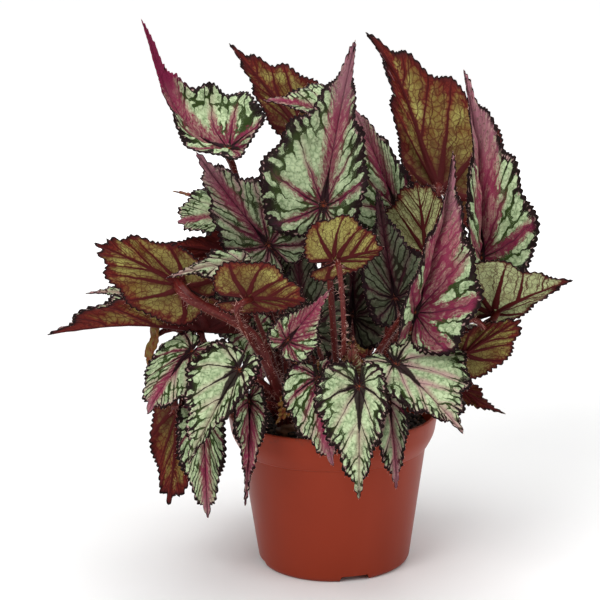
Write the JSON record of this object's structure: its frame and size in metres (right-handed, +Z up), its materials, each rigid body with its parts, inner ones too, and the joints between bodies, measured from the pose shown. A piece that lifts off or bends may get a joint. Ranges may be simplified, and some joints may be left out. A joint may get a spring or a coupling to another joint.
{
  "type": "potted rex begonia",
  "caption": "Bushy potted houseplant with pointed lopsided leaves, silver and pink above and olive red below, on red stalks in a round flower pot of soil.",
  "frame": {"origin": "centre of the pot's underside", "axes": "+Z up out of the pot; -Y is the plant's best side, the one that faced the camera"},
  "size_m": [0.2794, 0.2276, 0.3136],
  "materials": {
    "pot_plastic": "satin",
    "potting_soil": "rough, crumbly",
    "leaf_stalk": "soft, hairy",
    "leaf_blade": "satin, puckered"
  },
  "bodies": {
    "root": {"pot": "pot_plastic", "soil": "potting_soil", "shoot_left": "leaf_stalk", "shoot_middle": "leaf_stalk", "shoot_right": "leaf_stalk", "shoot_backRight": "leaf_stalk", "shoot_back": "leaf_stalk", "leaf_01": "leaf_blade", "leaf_02": "leaf_blade", "leaf_03": "leaf_blade", "leaf_04": "leaf_blade", "leaf_05": "leaf_blade", "leaf_06": "leaf_blade", "leaf_07": "leaf_blade", "leaf_08": "leaf_blade", "leaf_09": "leaf_blade", "leaf_10": "leaf_blade", "leaf_11": "leaf_blade", "leaf_12": "leaf_blade", "leaf_13": "leaf_blade", "leaf_14": "leaf_blade", "leaf_15": "leaf_blade", "leaf_16": "leaf_blade", "leaf_17": "leaf_blade", "leaf_18": "leaf_blade", "leaf_19": "leaf_blade", "leaf_20": "leaf_blade", "leaf_21": "leaf_blade", "leaf_22": "leaf_blade", "leaf_23": "leaf_blade", "leaf_24": "leaf_blade", "leaf_25": "leaf_blade", "leaf_26": "leaf_blade", "leaf_27": "leaf_blade", "leaf_28": "leaf_blade", "leaf_29": "leaf_blade", "leaf_30": "leaf_blade", "leaf_31": "leaf_blade", "leaf_32": "leaf_blade", "leaf_33": "leaf_blade", "leaf_34": "leaf_blade", "leaf_35": "leaf_blade", "leaf_36": "leaf_blade", "leaf_37": "leaf_blade", "leaf_38": "leaf_blade", "leaf_39": "leaf_blade", "leaf_40": "leaf_blade", "leaf_41": "leaf_blade", "leaf_42": "leaf_blade", "leaf_43": "leaf_blade", "leaf_44": "leaf_blade", "leaf_45": "leaf_blade", "leaf_46": "leaf_blade", "leaf_47": "leaf_blade", "leaf_48": "leaf_blade", "leaf_49": "leaf_blade", "leaf_50": "leaf_blade", "leaf_51": "leaf_blade", "leaf_52": "leaf_blade", "leaf_53": "leaf_blade"}
  },
  "joints": []
}
